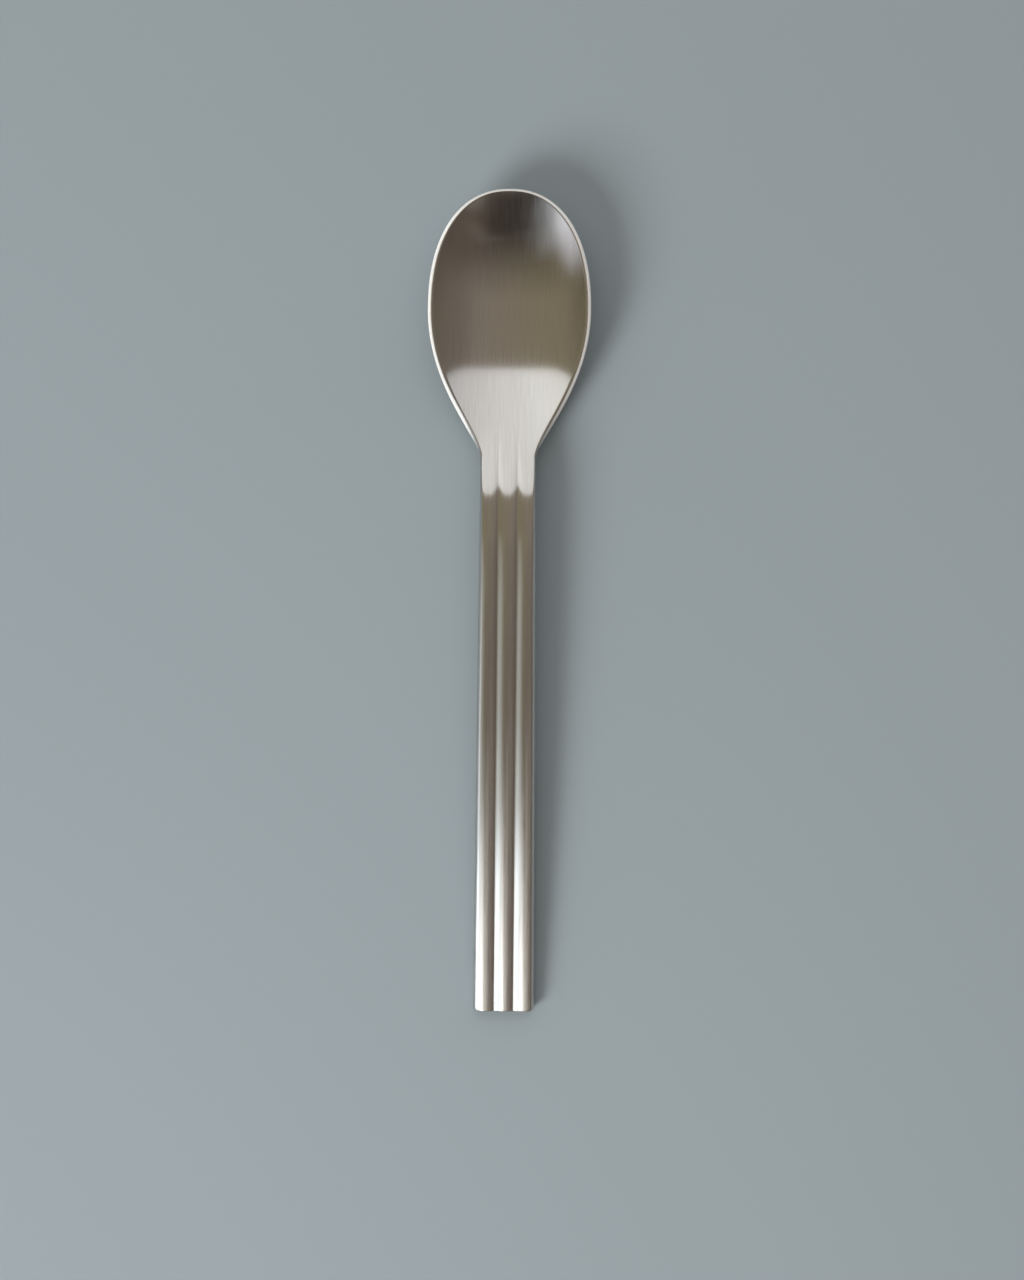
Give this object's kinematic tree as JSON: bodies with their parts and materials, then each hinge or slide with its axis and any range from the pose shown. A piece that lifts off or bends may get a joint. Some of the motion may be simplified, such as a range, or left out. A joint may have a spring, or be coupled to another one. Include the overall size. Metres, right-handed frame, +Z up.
{
  "type": "tablespoon",
  "caption": "Stainless steel tablespoon with an oval bowl and a ribbed, gently arched handle cut square at its end, for eating and serving.",
  "frame": {"origin": "on the table, under the middle of the length, with the spoon lying as it is laid for a meal", "axes": "+Y along the spoon towards the tip of the bowl, +Z up out of the bowl, +X across"},
  "size_m": [0.0394, 0.2, 0.0105],
  "materials": {
    "steel": "satin, brushed along the length"
  },
  "bodies": {
    "root": {"spoon": "steel"}
  },
  "joints": []
}
